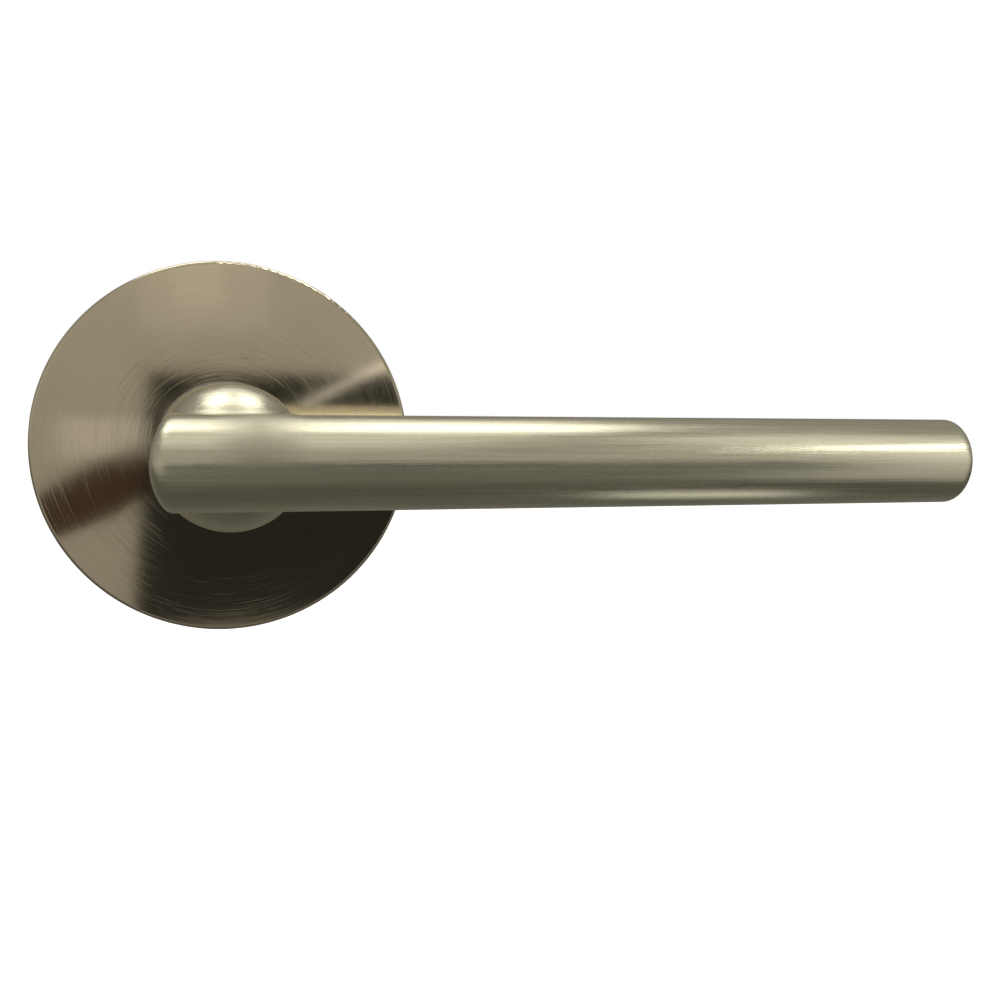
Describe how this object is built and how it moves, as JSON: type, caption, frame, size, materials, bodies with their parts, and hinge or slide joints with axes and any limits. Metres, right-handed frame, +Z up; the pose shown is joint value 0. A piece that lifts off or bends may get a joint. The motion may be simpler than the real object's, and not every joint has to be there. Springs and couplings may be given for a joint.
{
  "type": "door lever handle",
  "caption": "Straight round door lever on a plain round rose, spring return, square spindle, for passage doors.",
  "frame": {"origin": "centre of the rose's back face, on the spindle's axis, where the handle meets the door", "axes": "+Y into the door along the spindle, -Y towards the user, +X along the grip from neck to tip, +Z up"},
  "size_m": [0.1513, 0.1185, 0.065],
  "materials": {
    "satin_nickel": "satin nickel plate, brushed lengthwise",
    "turned_nickel": "satin nickel plate, brushed in circles",
    "zinc_steel": "bright zinc-plated steel",
    "spring_steel": "oiled spring steel",
    "black_steel": "black oxide steel",
    "die_cast_zinc": "raw die casting, matt",
    "yellow_zinc": "yellow passivated zinc-plated steel",
    "white_nylon": "natural nylon, satin",
    "grey_foam": "closed-cell foam, matt"
  },
  "bodies": {
    "root": {"mounting_plate": "die_cast_zinc", "neck_bush": "white_nylon", "return_spring": "spring_steel", "spring_anchor": "zinc_steel", "stop_pins": "zinc_steel", "cassette_lid": "zinc_steel", "lid_screws": "zinc_steel", "front_washer": "white_nylon", "disc_spring": "spring_steel", "fixing_posts": "zinc_steel", "lock_washers": "spring_steel", "wood_screws": "yellow_zinc", "door_gasket": "grey_foam", "cover_clips": "spring_steel"},
    "lever": {"lever_handle": "satin_nickel", "spindle": "zinc_steel", "spindle_leaf": "spring_steel", "grub_screw": "black_steel", "retaining_ring": "spring_steel", "drive_plate": "zinc_steel", "drive_peg": "zinc_steel"},
    "cover": {"rose_cover": "turned_nickel"}
  },
  "joints": [
    {"name": "lever_turn", "type": "hinge", "parent": "root", "child": "lever", "pos_m": [0, -0.01, 0], "axis": [0, 1, 0], "range_deg": [0, 45], "stiffness_Nm_per_rad": 0.8, "springref_deg": -22.92, "deforming": ["return_spring"]},
    {"name": "cover_slide", "type": "slide", "parent": "root", "child": "cover", "axis": [0, -1, 0], "range_m": [0, 0.028]}
  ]
}
